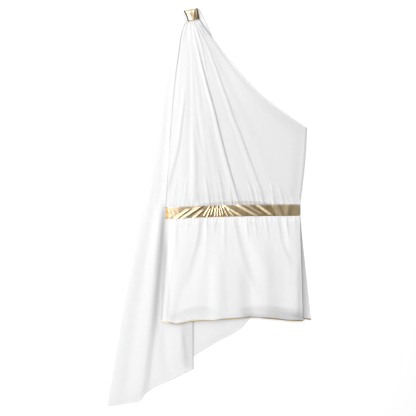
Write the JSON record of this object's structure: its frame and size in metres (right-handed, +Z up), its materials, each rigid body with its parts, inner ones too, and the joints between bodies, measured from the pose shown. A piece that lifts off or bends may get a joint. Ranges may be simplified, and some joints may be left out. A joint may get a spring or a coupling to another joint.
{
  "type": "one-shoulder roman toga costume, laid flat",
  "caption": "White one-shoulder toga dress laid flat, with a long chiffon cape falling from the shoulder, a ruched gold waistband and a gold shoulder band.",
  "frame": {"origin": "the centre of the surface that the garment lies on, below the middle of its outline", "axes": "+X towards the side without a strap, as the picture's right, +Y towards the shoulder band, +Z up out of the garment's front"},
  "size_m": [0.612, 1.197, 0.0165],
  "materials": {
    "chiffon": "white polyester chiffon, thin, matt and slightly sheer",
    "lining": "opaque white woven lining",
    "gold_lame": "gold foil lame, shiny"
  },
  "bodies": {
    "root": {"cape": "chiffon", "bodice_back": "chiffon", "waistband_back": "gold_lame", "skirt_back": "chiffon", "hem_trim_back": "gold_lame", "skirt_lining": "lining", "skirt_front": "chiffon", "hem_trim_front": "gold_lame", "bodice_front": "chiffon", "waistband_front": "gold_lame", "shoulder_band": "gold_lame"}
  },
  "joints": []
}
